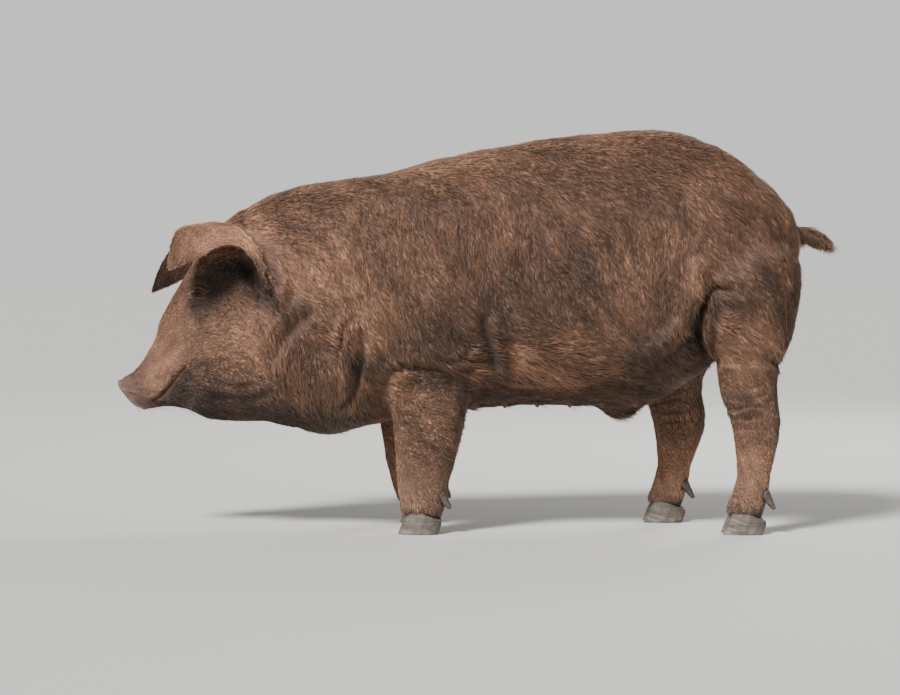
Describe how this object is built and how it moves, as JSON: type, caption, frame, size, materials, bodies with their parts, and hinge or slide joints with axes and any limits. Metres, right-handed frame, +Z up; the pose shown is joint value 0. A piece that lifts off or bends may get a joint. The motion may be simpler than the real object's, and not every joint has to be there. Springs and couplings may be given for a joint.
{
  "type": "standing pig",
  "caption": "Life-size still model of a heavy, deep-bodied pig standing on short legs, with lop ears tipped over the eyes, a fleshy jowl and a short tail.",
  "frame": {"origin": "middle of the animal's box in plan, on the floor under the soles of its claws", "axes": "+Z up, +Y from the nose to the tail so that the animal faces -Y, +X to the animal's left"},
  "size_m": [0.4396, 1.5998, 0.888],
  "materials": {
    "hide": "dark red-brown hide under a short, coarse, flat coat",
    "nose_skin": "bare, damp, finely creased skin of the nose disc",
    "claw_horn": "dark horn with growth ridges, worn and dusty at the rim",
    "eye": "wet dark brown eye"
  },
  "bodies": {
    "root": {"nose": "nose_skin", "head": "hide", "neck": "hide", "trunk": "hide", "tail": "hide", "ear_left": "hide", "ear_right": "hide", "eye_left": "eye", "eye_right": "eye", "foreleg_left_upper": "hide", "foreleg_left_lower": "hide", "foreleg_right_upper": "hide", "foreleg_right_lower": "hide", "hindleg_left_upper": "hide", "hindleg_left_lower": "hide", "hindleg_right_upper": "hide", "hindleg_right_lower": "hide", "claw_foreleg_left_outer": "claw_horn", "claw_foreleg_left_inner": "claw_horn", "claw_foreleg_right_outer": "claw_horn", "claw_foreleg_right_inner": "claw_horn", "claw_hindleg_left_outer": "claw_horn", "claw_hindleg_left_inner": "claw_horn", "claw_hindleg_right_outer": "claw_horn", "claw_hindleg_right_inner": "claw_horn", "dewclaw_foreleg_left_outer": "claw_horn", "dewclaw_foreleg_left_inner": "claw_horn", "dewclaw_foreleg_right_outer": "claw_horn", "dewclaw_foreleg_right_inner": "claw_horn", "dewclaw_hindleg_left_outer": "claw_horn", "dewclaw_hindleg_left_inner": "claw_horn", "dewclaw_hindleg_right_outer": "claw_horn", "dewclaw_hindleg_right_inner": "claw_horn"}
  },
  "joints": []
}
